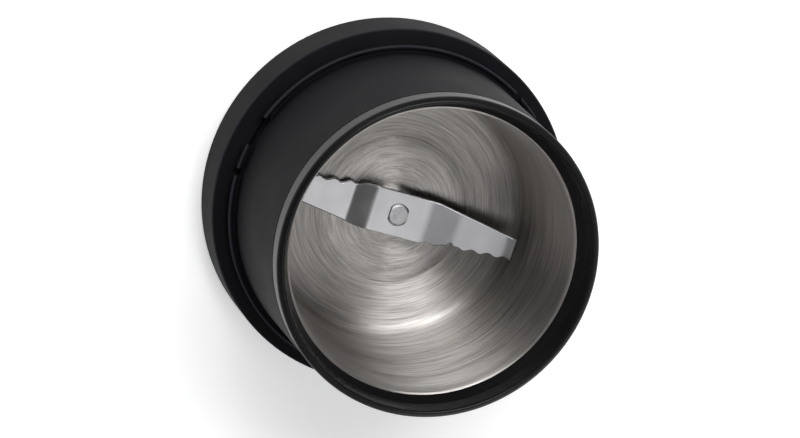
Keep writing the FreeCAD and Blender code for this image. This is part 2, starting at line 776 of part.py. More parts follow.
def cut_flats(body, name, flat, bottom, top, sides):
    """Flats across the shaft between two heights, square to the blade's length."""
    sketch = new_sketch(body, f"{name}_profile", "XY_Plane", height=bottom)
    for tag, side in zip("ab", sides):
        edge = f"{side}({flat})"
        beyond = f"{side}(shaft_radius + cut_over)"
        add_outline(sketch, [(edge, "-shaft_radius - cut_over"), (beyond, "-shaft_radius - cut_over"),
                             (beyond, "shaft_radius + cut_over"), (edge, "shaft_radius + cut_over")], tag)
    pad(body, sketch, name, f"{top} - ({bottom})", "Pocket", reverse=True)


def make_blade_collar():
    """Steel collar pressed on the shaft: the blade sits on it and the seal runs on its hub."""
    return turned("blade_spacer", [
        ("shaft_radius", f"{WASHER_TOP} + end_play"),
        ("collar_hub_radius", f"{WASHER_TOP} + end_play"),
        ("collar_hub_radius", COLLAR_BOTTOM),
        ("collar_radius", COLLAR_BOTTOM),
        ("collar_radius", "blade_bottom"),
        ("shaft_radius", "blade_bottom"),
    ])


def make_retaining_clip():
    """Clip in the shaft's groove, open on one side."""
    bottom = f"({CLIP_TOP} - clip_thickness)"
    body = turned("retaining_clip", [
        ("clip_groove_radius", bottom),
        ("clip_radius", bottom),
        ("clip_radius", CLIP_TOP),
        ("clip_groove_radius", CLIP_TOP),
    ])
    mouth = new_sketch(body, "clip_mouth_profile", "XY_Plane", height=bottom)
    add_outline(mouth, [("0", "-clip_opening / 2"), ("clip_radius + cut_over", "-clip_opening / 2"),
                        ("clip_radius + cut_over", "clip_opening / 2"), ("0", "clip_opening / 2")])
    pad(body, mouth, "clip_mouth", "clip_thickness + cut_over", "Pocket", reverse=True)
    add_lobes(body, bottom)
    return body


def add_lobes(body, bottom):
    """Two round scallops in the clip's bore that leave three gripping lobes."""
    sketch = new_sketch(body, "clip_scallop_profile", "XY_Plane", height=bottom)
    for tag, side in (("u", ""), ("v", "-")):
        add_circle(sketch, "-clip_scallop_across", f"{side}clip_scallop_aside", "clip_scallop_radius", tag)
    pad(body, sketch, "clip_scallops", "clip_thickness + cut_over", "Pocket", reverse=True)


def blade_side(direction):
    """Top line of one wing as pairs of distance from the axis and rise above the centre."""
    if direction == "low":
        return [("low_bend_start", "0"), ("low_bend_end", "-low_drop"), ("blade_reach", "-low_drop")]
    return [("high_bend_start", "0"), ("high_bend_end", "high_rise"),
            ("high_tip_start", "high_tip_bend_rise"), ("blade_reach", "high_tip_rise")]


def make_blade():
    """Stamped two-wing blade: one wing set low, one rising, with wave-ground leading edges."""
    blank = new_body("blade_blank")
    side = new_sketch(blank, "blade_side_profile")
    high = [(along, f"{BLADE_TOP} + {rise}") for along, rise in blade_side("high")]
    low = [(f"-({along})", f"{BLADE_TOP} + ({rise})") for along, rise in blade_side("low")]
    top = low[::-1] + high
    under = [(along, f"{height} - blade_thickness") for along, height in top[::-1]]
    add_outline(side, top + under)
    pad(blank, side, "blade_strip", "blade_centre_width + 2 * cut_over", midplane=True)
    outline = new_sketch(blank, "blade_outline", "XY_Plane")
    add_outline(outline, blade_plan())
    frame = "(blade_reach + cut_over)"
    add_outline(outline, [(f"-{frame}", f"-{frame}"), (frame, f"-{frame}"),
                          (frame, frame), (f"-{frame}", frame)], "frame")
    pad(blank, outline, "blade_trim", "", "Pocket", midplane=True, through=True)
    return finish_blade(blank)


def blade_plan():
    """Plan of the blade, the same after half a turn; the leading edge is at -Y on the +X wing."""
    half = "(blade_centre_width / 2)"
    wing = [("edge_taper_start", f"-{half}"), ("edge_corner", "-edge_corner_reach"),
            ("blade_reach", "-blade_tip_edge"), ("blade_reach", "blade_tip_back"),
            ("back_taper_start", half)]
    other = [(f"-({along})", f"-({across})") for along, across in wing]
    return wing + other


def finish_blade(blank):
    """Punch the shaft hole and grind the waves into both leading edges."""
    punch = doc.addObject("Part::Cylinder", "blade_punch")
    punch.setExpression("Radius", bound("shaft_radius"))
    punch.setExpression("Height", bound("3 * blade_thickness"))
    punch.setExpression("Placement.Base.z", bound("blade_bottom - blade_thickness"))
    keep = doc.addObject("Part::Box", "blade_punch_flats")
    keep.setExpression("Length", bound("2 * shaft_flat"))
    keep.setExpression("Width", bound("4 * shaft_radius"))
    keep.setExpression("Height", bound("3 * blade_thickness"))
    keep.setExpression("Placement.Base.x", bound("-shaft_flat"))
    keep.setExpression("Placement.Base.y", bound("-2 * shaft_radius"))
    keep.setExpression("Placement.Base.z", bound("blade_bottom - blade_thickness"))
    double_flat = doc.addObject("Part::Common", "blade_punch_double_flat")
    double_flat.Base = punch
    double_flat.Tool = keep
    tools = [double_flat] + wave_cutters()
    cutters = doc.addObject("Part::MultiFuse", "blade_cutters")
    cutters.Shapes = tools
    blade = doc.addObject("Part::Cut", "blade")
    blade.Base = blank
    blade.Tool = cutters
    blade.Label = "blade"
    blade.Placement = Placement(Vector(0, 0, 0), Rotation(Vector(0, 0, 1), 1))
    blade.setExpression("Placement.Rotation.Angle", bound("blade_azimuth"))
    return blade


def wave_cutters():
    """Grinding cylinders for both wings, with the nick where two sets of waves meet."""
    cutters = []
    for wing, kind, first, depth in (
            ("low", "low", "low_wave_first", "wave_depth"),
            ("high", "high", "high_wave_first", "wave_depth"),
            ("high", "inner", "inner_wave_first", "inner_wave_depth")):
        for index in range(int(number(f"{kind}_wave_count"))):
            along = f"({first} + {index} * wave_pitch)"
            cutters.append(edge_cutter(f"{kind}_wave_{index}", wing, along, "wave_radius", depth))
    cutters.append(edge_cutter("edge_nick", "high", "edge_corner", "edge_nick_radius", "edge_nick_depth"))
    return cutters


def edge_cutter(name, wing, along, radius, depth):
    """Cylinder that leans over a wing's leading edge, its depth measured at the wing's top."""
    sign = 1 if wing == "high" else -1
    top = f"({BLADE_TOP} + {wing_rise(wing, along)})"
    centre = f"({edge_reach(along)} + {radius} - {depth})"
    half_length = "(3 * blade_thickness)"
    cutter = doc.addObject("Part::Cylinder", name)
    cutter.setExpression("Radius", bound(radius))
    cutter.setExpression("Height", bound(f"2 * {half_length}"))
    cutter.Placement = Placement(Vector(0, 0, 0), Rotation(Vector(1, 0, 0), 1))
    cutter.setExpression("Placement.Rotation.Angle", bound(f"{sign} * wave_lean"))
    cutter.setExpression("Placement.Base.x", bound(f"{sign} * {along}"))
    lean_aside = f"{half_length} * sin(wave_lean * 1 deg)"
    cutter.setExpression("Placement.Base.y", bound(f"-{sign} * ({centre} - {lean_aside})"))
    cutter.setExpression("Placement.Base.z", bound(f"{top} - {half_length} * cos(wave_lean * 1 deg)"))
    return cutter


def edge_reach(along):
    """Distance of the leading edge from the blade's long axis."""
    if number(along) > number("edge_corner"):
        slope = "((edge_corner_reach - blade_tip_edge) / (blade_reach - edge_corner))"
        return f"(edge_corner_reach - {slope} * ({along} - edge_corner))"
    slope = "((blade_centre_width / 2 - edge_corner_reach) / (edge_corner - edge_taper_start))"
    return f"(edge_corner_reach - {slope} * ({along} - edge_corner))"


def wing_rise(wing, along):
    """Rise of a wing's top above the centre."""
    if wing == "low":
        return "-1 * low_drop"
    if number(along) > number("high_bend_end"):
        climb = "((high_tip_bend_rise - high_rise) / (high_tip_start - high_bend_end))"
    else:
        climb = "(high_rise / (high_bend_end - high_bend_start))"
    return f"(high_rise + {climb} * ({along} - high_bend_end))"


def make_coupling():
    """Driven coupling with dogs below its disc, its moulded-in insert and the nut that holds it."""
    disc_bottom = "(coupling_top - coupling_disc)"
    insert_top = "(coupling_top - insert_top_cover)"
    pocket = "(insert_radius + insert_fit)"
    body = turned("drive_coupling", [
        ("shaft_radius + insert_fit", insert_top),
        (pocket, insert_top),
        (pocket, "insert_bottom"),
        ("dog_inner_radius", "insert_bottom"),
        ("dog_inner_radius", disc_bottom),
        ("coupling_radius", disc_bottom),
        ("coupling_radius", "coupling_top"),
        ("shaft_radius + insert_fit", "coupling_top"),
    ])
    dog = new_sketch(body, "dog_profile", azimuth="0")
    add_outline(dog, [
        ("dog_inner_radius", "dog_bottom"),
        ("coupling_radius - dog_round", "dog_bottom"),
        ("coupling_radius", "dog_bottom + dog_round"),
        ("coupling_radius", f"{disc_bottom} + overlap"),
        ("dog_inner_radius", f"{disc_bottom} + overlap"),
    ])
    dog_turn = revolve(body, dog, "dog", "Revolution", "dog_angle")
    repeat(body, [dog_turn], "dogs", "dog_count")
    turn_body(body, "blade_azimuth")
    make_insert(insert_top)
    make_nut()


def make_insert(insert_top):
    """Steel insert with a single-flat bore and notches that key it in the coupling."""
    body = new_body("coupling_insert")
    rim = new_sketch(body, "insert_profile", "XY_Plane", height="insert_bottom")
    add_circle(rim, "0", "0", "insert_radius")
    pad(body, rim, "insert_disc", f"{insert_top} - insert_bottom")
    bore = new_sketch(body, "insert_bore_profile", "XY_Plane", height="insert_bottom")
    add_flat_circle(bore, "shaft_tail_radius + insert_fit", "tail_flat + insert_fit")
    pad(body, bore, "insert_bore", "", "Pocket", reverse=True, through=True)
    notch = new_sketch(body, "insert_notch_profile", "XY_Plane", height="insert_bottom")
    add_circle(notch, "insert_radius", "0", "insert_notch_radius")
    cut = pad(body, notch, "insert_notch", "", "Pocket", reverse=True, through=True)
    repeat(body, [cut], "insert_notches", "insert_notch_count")
    turn_body(body, "blade_azimuth")


def add_flat_circle(sketch, radius, flat):
    """Circle with one straight side square to +X, fixed by its radius and the flat's distance."""
    reach = number(radius)
    half = math.acos(number(flat) / reach)
    circle = Part.Circle(Vector(0, 0, 0), Vector(0, 0, 1), reach)
    arc = sketch.addGeometry(Part.ArcOfCircle(circle, half, 2 * math.pi - half), False)
    ends = [Vector(reach * math.cos(half), -reach * math.sin(half), 0),
            Vector(reach * math.cos(half), reach * math.sin(half), 0)]
    line = sketch.addGeometry(Part.LineSegment(ends[0], ends[1]), False)
    sketch.addConstraint(Sketcher.Constraint("Coincident", arc, 3, -1, 1))
    sketch.addConstraint(Sketcher.Constraint("Coincident", arc, 2, line, 1))
    sketch.addConstraint(Sketcher.Constraint("Coincident", line, 2, arc, 1))
    sketch.addConstraint(Sketcher.Constraint("Vertical", line))
    index = sketch.addConstraint(Sketcher.Constraint("Radius", arc, reach))
    sketch.renameConstraint(index, "bore_radius")
    sketch.setExpression("Constraints.bore_radius", bound(radius))
    index = sketch.addConstraint(Sketcher.Constraint("DistanceX", -1, 1, line, 1, number(flat)))
    sketch.renameConstraint(index, "bore_flat")
    sketch.setExpression("Constraints.bore_flat", bound(flat))


def make_nut():
    """Thin hexagon nut under the insert."""
    body = new_body("coupling_nut")
    face = new_sketch(body, "nut_profile", "XY_Plane", height="insert_bottom - nut_thickness")
    corner = "nut_across_flats / 2 / cos(30 deg)"
    add_outline(face, [(f"{corner} * cos({60 * side} deg)", f"{corner} * sin({60 * side} deg)")
                       for side in range(6)])
    pad(body, face, "nut_hexagon", "nut_thickness")
    bore = new_sketch(body, "nut_bore_profile", "XY_Plane", height="insert_bottom - nut_thickness")
    add_circle(bore, "0", "0", "shaft_thread_radius")
    pad(body, bore, "nut_bore", "", "Pocket", reverse=True, through=True)
    turn_body(body, "blade_azimuth")


def make_bottom_cover():
    """Recessed cover with a well round the coupling, standoffs and radial ribs."""
    well_outside = "(cover_well_radius + cover_well_wall)"
    edge = "(flange_floor_inner_radius - cover_clearance)"
    body = turned("bottom_cover", [
        ("cover_well_radius", "cover_well_bottom"),
        (well_outside, "cover_well_bottom"),
        (well_outside, COVER_BOTTOM),
        (edge, COVER_BOTTOM),
        (edge, COVER_TOP),
        ("cover_well_radius", COVER_TOP),
    ])
    rib = new_sketch(body, "cover_rib_profile", azimuth="180 / cover_rib_count")
    add_outline(rib, [
        ("cover_rib_start", f"{COVER_BOTTOM} + overlap"),
        ("cover_rib_start", f"{COVER_BOTTOM} - cover_rib_depth"),
        ("cover_rib_end", f"{COVER_BOTTOM} + overlap"),
    ])
    rib_pad = pad(body, rib, "cover_rib", "sleeve_rib_thickness", midplane=True)
    repeat(body, [rib_pad], "cover_ribs", "cover_rib_count")
    add_posts(body, "cover_standoff_post", "cover_screw_circle", "screw_radius + boss_wall",
              COVER_TOP + " - overlap", "web_bottom", "cover_screw_count", "cover_screw_azimuth")
    add_posts(body, "cover_screw_hole", "cover_screw_circle", "screw_radius + screw_hole_clearance",
              COVER_BOTTOM + " - cover_rib_depth", "web_bottom", "cover_screw_count",
              "cover_screw_azimuth", "Pocket")
    turn_body(body, "rail_gap_azimuth")
    return body


def make_screws(label, circle, seat, length, count, azimuth):
    """Group of equal pan-head screws driven upwards from a seat, one solid each."""
    body = new_body(label)
    body.AllowCompound = True
    sketch = new_sketch(body, f"{label}_profile", azimuth=azimuth)
    add_outline(sketch, [
        (circle, f"{seat} - screw_head_height"),
        (f"{circle} + screw_crown_radius", f"{seat} - screw_head_height"),
        (f"{circle} + screw_head_radius", f"{seat} - screw_rim_height"),
        (f"{circle} + screw_head_radius", seat),
        (f"{circle} + screw_radius", seat),
        (f"{circle} + screw_radius", f"{seat} + {length} - screw_radius"),
        (circle, f"{seat} + {length}"),
    ])
    turning = body.newObject("PartDesign::Revolution", f"{label}_turning")
    turning.Profile = sketch
    turning.ReferenceAxis = (sketch, ["Edge7"])
    turning.Angle = 360
    slot = new_sketch(body, f"{label}_slot", azimuth=azimuth)
    beyond = "(screw_head_radius + cut_over)"
    below = f"{seat} - screw_head_height - cut_over"
    slot_top = f"{seat} - screw_head_height + screw_slot_depth"
    add_outline(slot, [
        (f"{circle} - {beyond}", below),
        (f"{circle} + {beyond}", below),
        (f"{circle} + {beyond}", slot_top),
        (f"{circle} - {beyond}", slot_top),
    ])
    cut = pad(body, slot, f"{label}_slot_cut", "screw_slot", "Pocket", midplane=True)
    repeat(body, [turning, cut], f"{label}_set", count)
    turn_body(body, "rail_gap_azimuth")
    return body


def make_rim_gasket():
    """Flat ring between the sleeve's seat and the bowl's turned-out edge."""
    top = f"({GASKET_SEAT} + rim_gasket_thickness)"
    return turned("rim_gasket", [
        ("rim_gasket_inner_radius", GASKET_SEAT),
        ("rim_gasket_outer_radius", GASKET_SEAT),
        ("rim_gasket_outer_radius", top),
        ("rim_gasket_inner_radius", top),
    ])


def build_cup():
    make_cup_sleeve()
    make_rim_ring()
    make_rim_gasket()
    make_steel_bowl()
    make_base_ring()
    make_bearing_housing()
    make_hub_seals()
    make_bushes()
    make_drive_shaft()
    make_blade_collar()
    make_retaining_clip()
    make_blade()
    make_coupling()
    make_bottom_cover()
    make_screws("base_ring_screws", "ring_screw_circle", FLOOR_BOTTOM,
                "ring_screw_length", "ring_screw_count", "ring_screw_azimuth")
    make_screws("cover_screws", "cover_screw_circle", COVER_BOTTOM,
                "cover_screw_length", "cover_screw_count", "cover_screw_azimuth")
    make_screws("housing_screws", "housing_screw_circle", "web_bottom",
                "housing_screw_length", "housing_screw_count", "housing_screw_azimuth")
    doc.recompute()


PIECES = [
    "cup_sleeve", "rim_ring", "rim_gasket", "steel_bowl", "base_ring", "bearing_housing",
    "hub_gasket", "seal_cap", "shaft_seal", "upper_bush", "lower_bush", "thrust_washer_upper",
    "thrust_washer_lower", "drive_shaft", "blade_spacer", "retaining_clip", "blade",
    "drive_coupling", "coupling_insert", "coupling_nut", "bottom_cover", "base_ring_screws",
    "cover_screws", "housing_screws",
]


def check_and_write():
    """Stop on any failed object or bad shape, then write one file for each piece."""
    for item in doc.Objects:
        if "Invalid" in item.State or "Error" in item.State:
            raise RuntimeError(f"{item.Name} failed: {item.State}")
    os.makedirs("parts", exist_ok=True)
    found = {item.Label: item for item in doc.Objects}
    for name in PIECES:
        shape = found[name].Shape
        if shape.isNull() or not shape.isValid() or not shape.Solids:
            raise RuntimeError(f"{name} has no valid solid")
        shape.exportStep(f"parts/{name}.step")
        box = shape.BoundBox
        print(f"{name}: {len(shape.Solids)} solid, {len(shape.Faces)} faces, {shape.Volume:.1f} mm3, "
              f"z {box.ZMin:.2f} to {box.ZMax:.2f}")


build_cup()
check_and_write()
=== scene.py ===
"""Looks of the grinding cup: rounded pieces, finishes, studio and camera, in metres."""
import bmesh
import bpy
import math
from mathutils import Matrix, Vector


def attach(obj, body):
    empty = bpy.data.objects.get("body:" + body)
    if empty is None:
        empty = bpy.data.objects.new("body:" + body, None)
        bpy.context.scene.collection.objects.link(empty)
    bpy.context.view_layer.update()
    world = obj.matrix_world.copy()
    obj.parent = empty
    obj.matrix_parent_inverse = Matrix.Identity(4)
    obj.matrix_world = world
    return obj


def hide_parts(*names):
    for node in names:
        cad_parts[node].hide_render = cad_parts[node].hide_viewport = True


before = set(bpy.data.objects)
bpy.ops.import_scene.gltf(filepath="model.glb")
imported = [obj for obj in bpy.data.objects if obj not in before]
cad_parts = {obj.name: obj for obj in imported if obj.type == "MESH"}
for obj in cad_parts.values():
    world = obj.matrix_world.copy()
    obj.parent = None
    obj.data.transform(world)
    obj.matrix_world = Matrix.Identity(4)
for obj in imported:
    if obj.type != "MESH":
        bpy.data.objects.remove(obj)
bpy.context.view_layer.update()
MM = 0.001
# Reach within which a cut takes a vertex as lying on its plane. The operator's own is 0.1 mm.
TOUCH = 0.000001

# Heights that several pieces share, in millimetres as all sizes of the pieces below.
BOWL_EDGE_Z = 59.5
RIM_Z = 67.0
BLADE_TURN = 120.0


def deselect_all():
    bpy.ops.object.select_all(action="DESELECT")


def take(piece):
    """Make one object the only selected and the active one."""
    deselect_all()
    piece.select_set(True)
    bpy.context.view_layer.objects.active = piece


def edit(piece):
    take(piece)
    bpy.ops.object.mode_set(mode="EDIT")
    bpy.ops.mesh.select_mode(type="VERT")
    bpy.ops.mesh.select_all(action="DESELECT")


def leave_edit():
    bpy.ops.object.mode_set(mode="OBJECT")


def pick(kind, test):
    """In edit mode, select only the vertices, edges or faces that pass a test."""
    modes = {"verts": "VERT", "edges": "EDGE", "faces": "FACE"}
    bpy.ops.mesh.select_mode(type=modes[kind])
    bpy.ops.mesh.select_all(action="DESELECT")
    mesh = bpy.context.object.data
    shell = bmesh.from_edit_mesh(mesh)
    for item in getattr(shell, kind):
        if test(item):
            item.select_set(True)
    shell.select_flush_mode()
    bmesh.update_edit_mesh(mesh)


def near(value, target, reach=0.02):
    return abs(value - target) < reach * MM


def start_line(name, first):
    """Piece with a single vertex, ready to be extruded point by point."""
    deselect_all()
    bpy.ops.mesh.primitive_plane_add(size=MM, location=(0, 0, 0))
    piece = bpy.context.object
    piece.name = name
    piece.data.name = name
    bpy.ops.object.mode_set(mode="EDIT")
    bpy.ops.mesh.select_mode(type="VERT")
    bpy.ops.mesh.select_all(action="SELECT")
    bpy.ops.mesh.merge(type="CENTER")
    bpy.ops.transform.translate(value=Vector(first))
    return piece


def draw_line(points):
    """Extrude the selected vertex through the points after the first, and close the outline."""
    for before, after in zip(points, points[1:]):
        step = Vector(after) - Vector(before)
        bpy.ops.mesh.extrude_region_move(TRANSFORM_OT_translate={"value": step})
    ends = (Vector(points[0]), Vector(points[-1]))
    pick("verts", lambda v: min((v.co - end).length for end in ends) < 0.001 * MM)
    bpy.ops.mesh.edge_face_add()


TURN_STEPS = 256


def turned_piece(name, outline, rounds):
    """Turned piece: its outline is drawn in radius and height, its corners rounded, then spun."""
    points = [(radius * MM, 0.0, height * MM) for radius, height in outline]
    piece = start_line(name, points[0])
    draw_line(points)
    for radius, height, setback, segments in rounds:
        pick("verts", lambda v: near(v.co.x, radius * MM) and near(v.co.z, height * MM))
        bpy.ops.mesh.bevel(offset=setback * MM, offset_type="OFFSET", segments=segments,
                           profile=0.5, affect="VERTICES")
    bpy.ops.mesh.select_mode(type="VERT")
    bpy.ops.mesh.select_all(action="SELECT")
    bpy.ops.mesh.spin(steps=TURN_STEPS, angle=math.tau, center=(0, 0, 0), axis=(0, 0, 1))
    bpy.ops.mesh.select_all(action="SELECT")
    bpy.ops.mesh.remove_doubles(threshold=0.002 * MM)
    bpy.ops.mesh.normals_make_consistent(inside=False)
    leave_edit()
    return piece


def smooth(piece, angle=32.0):
    take(piece)
    bpy.ops.object.shade_smooth_by_angle(angle=math.radians(angle))
    bpy.ops.object.modifier_add(type="WEIGHTED_NORMAL")
    piece.modifiers[-1].keep_sharp = True
    bpy.ops.object.modifier_apply(modifier=piece.modifiers[-1].name)


def fit_out(piece, body, finish, slot, *nodes):
    """Give a finished piece its material and its body, and hide the nodes that it stands for."""
    piece.data.materials.clear()
    piece.data.materials.append(finish)
    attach(piece, body)
    if nodes:
        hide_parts(*nodes)


# An edge is rounded where it turns by more than this, in degrees. The planes through the axis
# split wide faces, which shade badly as one, and start a little off the solids' own edges.
ROUNDED_TURN = 28.0
FLAT_TURN = 0.8
SECTORS = 9
SECTOR_START = 0.37


def edged_copy(node, name, width, segments=2):
    """Copy of a solid with its edges lightly rounded, as a mould or a tumbler leaves them."""
    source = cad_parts[node]
    piece = bpy.data.objects.new(name, source.data.copy())
    piece.data.name = name
    bpy.context.scene.collection.objects.link(piece)
    edit(piece)
    if piece.data.has_custom_normals:
        bpy.ops.mesh.customdata_custom_splitnormals_clear()
    bpy.ops.mesh.select_all(action="SELECT")
    bpy.ops.mesh.remove_doubles(threshold=0.004 * MM)
    bpy.ops.mesh.dissolve_limited(angle_limit=math.radians(FLAT_TURN))
    for index in range(SECTORS):
        turn = math.pi * (index + SECTOR_START) / SECTORS
        bpy.ops.mesh.select_all(action="SELECT")
        bpy.ops.mesh.bisect(plane_co=(0, 0, 0), plane_no=(math.cos(turn), math.sin(turn), 0),
                            threshold=TOUCH)
    leave_edit()
    bpy.ops.object.modifier_add(type="BEVEL")
    rounding = piece.modifiers[-1]
    rounding.width = width * MM
    rounding.segments = segments
    rounding.limit_method = "ANGLE"
    rounding.angle_limit = math.radians(ROUNDED_TURN)
    rounding.use_clamp_overlap = False
    rounding.miter_outer = "MITER_ARC"
    bpy.ops.object.modifier_apply(modifier=rounding.name)
    smooth(piece)
    return piece


# Shader groups that several finishes share.

def new_group(name, colour, values):
    """Node group that takes a colour and plain values, and gives colour, roughness and height."""
    tree = bpy.data.node_groups.new(name, "ShaderNodeTree")
    kinds = {"Colour": "NodeSocketColor"}
    for label, value in {"Colour": (*colour, 1), **values}.items():
        socket = tree.interface.new_socket(name=label, in_out="INPUT",
                                           socket_type=kinds.get(label, "NodeSocketFloat"))
        socket.default_value = value
    for label in ("Colour", "Roughness", "Height"):
        tree.interface.new_socket(name=label, in_out="OUTPUT",
                                  socket_type=kinds.get(label, "NodeSocketFloat"))
    return tree


def add_node(tree, kind, **settings):
    node = tree.nodes.new(f"ShaderNode{kind}")
    for key, value in settings.items():
        setattr(node, key, value)
    return node


def feed(tree, target, source):
    """Join a source socket to a target socket, or write a plain value on it."""
    if isinstance(source, (int, float, tuple)):
        target.default_value = source
    else:
        tree.links.new(source, target)


def math_of(tree, operation, first, second=0.0):
    node = add_node(tree, "Math", operation=operation)
    feed(tree, node.inputs[0], first)
    feed(tree, node.inputs[1], second)
    return node.outputs[0]


def noise_of(tree, vector, scale, detail, roughness):
    node = add_node(tree, "TexNoise", noise_dimensions="3D")
    feed(tree, node.inputs["Vector"], vector)
    feed(tree, node.inputs["Scale"], scale)
    node.inputs["Detail"].default_value = detail
    node.inputs["Roughness"].default_value = roughness
    return node.outputs["Fac"]


def spread(tree, value, low, high, to_low, to_high):
    node = add_node(tree, "MapRange")
    node.clamp = True
    for index, entry in enumerate((value, low, high, to_low, to_high)):
        feed(tree, node.inputs[index], entry)
    return node.outputs[0]


def around_one(tree, value, span, contrast):
    """Factor that runs from one less the contrast to one plus it, over a span of a value."""
    low = math_of(tree, "SUBTRACT", 1.0, contrast)
    high = math_of(tree, "ADD", 1.0, contrast)
    return spread(tree, value, *span, low, high)


def away_from_axis(tree, place):
    """The part of a place that is square to the axis, and its length."""
    flat = add_node(tree, "VectorMath", operation="MULTIPLY")
    feed(tree, flat.inputs[0], place)
    flat.inputs[1].default_value = (1, 1, 0)
    length = add_node(tree, "VectorMath", operation="LENGTH")
    feed(tree, length.inputs[0], flat.outputs[0])
    return flat.outputs[0], length.outputs["Value"]


def shade_of(tree, colour, amount):
    """Colour multiplied by an amount near one."""
    node = add_node(tree, "VectorMath", operation="SCALE")
    feed(tree, node.inputs[0], colour)
    feed(tree, node.inputs["Scale"], amount)
    return node.outputs[0]


# Patterns are given as cycles a metre, detail and roughness of a noise. A span is the part of
# a noise's range over which an effect comes in.
PLASTIC_CLOUD = (45.0, 5.0, 0.6)
PLASTIC_DUST = (900.0, 3.0, 0.7)
DUST_SPAN = (0.72, 0.8)
DUST_SHADE = 0.35
SOFT_SPAN = (0.3, 0.7)
# An edge's painted highlight is fully pale within the first distance from its line, and gone at the
# second.
EDGE_HIGHLIGHT_FROM = 0.15
EDGE_HIGHLIGHT_TO = 0.5


def make_moulded_grain():
    """Fine pebble of a spark-eroded mould, faint clouds, a little dust and a painted highlight
    along one edge.
    """
    tree = new_group("moulded_grain", (0.02, 0.02, 0.022), {
        "Grain Size": 6000.0, "Cloud": 0.1, "Roughness": 0.45,
        "Edge Radius": 1.0, "Edge Height": 0.0, "Edge Highlight": 0.0})
    entry = tree.nodes.new("NodeGroupInput")
    out = tree.nodes.new("NodeGroupOutput")
    place = add_node(tree, "TexCoord").outputs["Object"]
    pebble = noise_of(tree, place, entry.outputs["Grain Size"], 2.0, 0.6)
    cloud = noise_of(tree, place, *PLASTIC_CLOUD)
    dust = noise_of(tree, place, *PLASTIC_DUST)
    amount = around_one(tree, cloud, SOFT_SPAN, entry.outputs["Cloud"])
    specks = spread(tree, dust, *DUST_SPAN, 0.0, DUST_SHADE)
    amount = math_of(tree, "ADD", amount, specks)
    parts = add_node(tree, "SeparateXYZ")
    feed(tree, parts.inputs[0], place)
    radius = away_from_axis(tree, place)[1]
    outward = math_of(tree, "SUBTRACT", radius, entry.outputs["Edge Radius"])
    upward = math_of(tree, "SUBTRACT", parts.outputs["Z"], entry.outputs["Edge Height"])
    away = math_of(tree, "SQRT", math_of(tree, "ADD", math_of(tree, "MULTIPLY", outward, outward),
                                         math_of(tree, "MULTIPLY", upward, upward)))
    # Painted highlight: the colour is lifted near the edge line to stand in for light catching that
    # edge.
    edge_highlight = spread(tree, away, EDGE_HIGHLIGHT_FROM * MM, EDGE_HIGHLIGHT_TO * MM, entry.outputs["Edge Highlight"], 0.0)
    amount = math_of(tree, "ADD", amount, edge_highlight)
    feed(tree, out.inputs["Colour"], shade_of(tree, entry.outputs["Colour"], amount))
    shift = spread(tree, cloud, *SOFT_SPAN, -0.04, 0.04)
    feed(tree, out.inputs["Roughness"], math_of(tree, "ADD", entry.outputs["Roughness"], shift))
    feed(tree, out.inputs["Height"], pebble)
    return tree


# Fine lines are short strokes. Wide ones are a sixth as many, run further round and weigh less.
FINE_SWEEP = 2.4
WIDE_SWEEP = 1.0
WIDE_SIZE = 0.16
FINE_SHARE = 0.72
LINE_SPAN = (0.38, 0.62)
# Half width of the change where the raised centre's own roughness and its painted shade begin.
CENTRE_BLUR = 0.15


def make_turned_marks():
    """Lines that run round the axis, as a brushing pad or a lathe leaves them on steel."""
    tree = new_group("turned_marks", (0.6, 0.6, 0.6), {
        "Line Size": 2500.0, "Contrast": 0.2, "Roughness": 0.3,
        "Centre Radius": 0.0, "Centre Painted Shade": 1.0, "Centre Roughness": 0.0})
    entry = tree.nodes.new("NodeGroupInput")
    out = tree.nodes.new("NodeGroupOutput")
    place = add_node(tree, "TexCoord").outputs["Object"]
    parts = add_node(tree, "SeparateXYZ")
    feed(tree, parts.inputs[0], place)
    flat, radius = away_from_axis(tree, place)
    heading = add_node(tree, "VectorMath", operation="NORMALIZE")
    feed(tree, heading.inputs[0], flat)
    turn = add_node(tree, "SeparateXYZ")
    feed(tree, turn.inputs[0], heading.outputs[0])
    climb = math_of(tree, "ADD", radius, parts.outputs["Z"])

    def lines(size, sweep):
        radial = math_of(tree, "MULTIPLY", climb, size)
        ring = add_node(tree, "CombineXYZ")
        feed(tree, ring.inputs[0], radial)
        feed(tree, ring.inputs[1], math_of(tree, "MULTIPLY", turn.outputs["X"], sweep))
        feed(tree, ring.inputs[2], math_of(tree, "MULTIPLY", turn.outputs["Y"], sweep))
        return noise_of(tree, ring.outputs[0], 1.0, 3.0, 0.65)

    def in_centre(inside, outside):
        return spread(tree, outward, -CENTRE_BLUR * MM, CENTRE_BLUR * MM, inside, outside)

    fine = lines(entry.outputs["Line Size"], FINE_SWEEP)
    wide = lines(math_of(tree, "MULTIPLY", entry.outputs["Line Size"], WIDE_SIZE), WIDE_SWEEP)
    both = math_of(tree, "ADD", math_of(tree, "MULTIPLY", fine, FINE_SHARE),
                   math_of(tree, "MULTIPLY", wide, 1.0 - FINE_SHARE))
    amount = around_one(tree, both, LINE_SPAN, entry.outputs["Contrast"])
    outward = math_of(tree, "SUBTRACT", radius, entry.outputs["Centre Radius"])
    # Painted shade: the raised centre is darkened to stand in for it catching less light than the
    # floor round it.
    amount = math_of(tree, "MULTIPLY", amount, in_centre(entry.outputs["Centre Painted Shade"], 1.0))
    feed(tree, out.inputs["Colour"], shade_of(tree, entry.outputs["Colour"], amount))
    shift = math_of(tree, "ADD", spread(tree, wide, *SOFT_SPAN, -0.05, 0.06),
                    in_centre(entry.outputs["Centre Roughness"], 0.0))
    feed(tree, out.inputs["Roughness"], math_of(tree, "ADD", entry.outputs["Roughness"], shift))
    feed(tree, out.inputs["Height"], both)
    return tree


